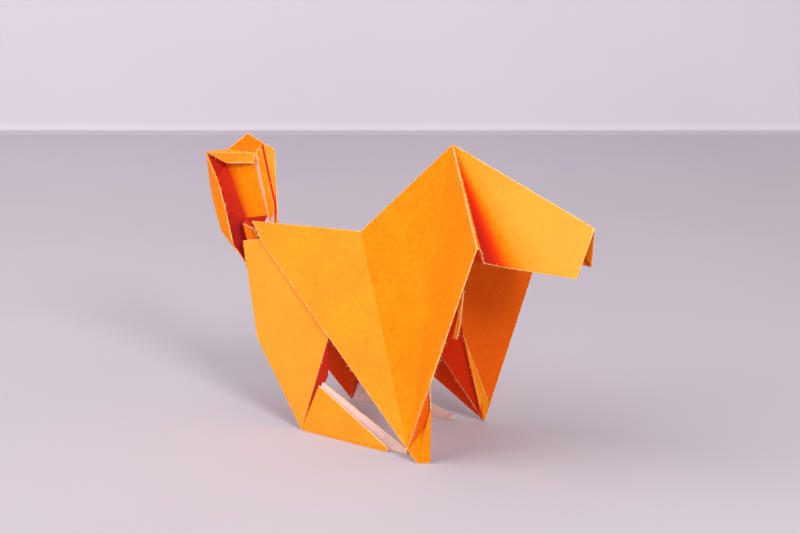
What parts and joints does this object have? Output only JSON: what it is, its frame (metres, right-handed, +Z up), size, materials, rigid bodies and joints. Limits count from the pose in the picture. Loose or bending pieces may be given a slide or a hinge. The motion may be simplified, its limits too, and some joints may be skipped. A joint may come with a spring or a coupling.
{
  "type": "folded paper dog",
  "caption": "Folded paper dog figure that stands on four feet, with a long head, a notched back and a raised trough-shaped tail, made of two interlocked sheets",
  "frame": {"origin": "on the ground at the middle of the bounding box seen from above", "axes": "+X towards the head, +Y to the dog's left, +Z up"},
  "size_m": [0.1546, 0.0534, 0.108],
  "materials": {
    "front_sheet": "matte paper, orange outside and white inside",
    "rear_sheet": "matte paper, orange outside and white inside"
  },
  "bodies": {
    "root": {"front_sheet": "front_sheet", "rear_sheet": "rear_sheet"}
  },
  "joints": []
}
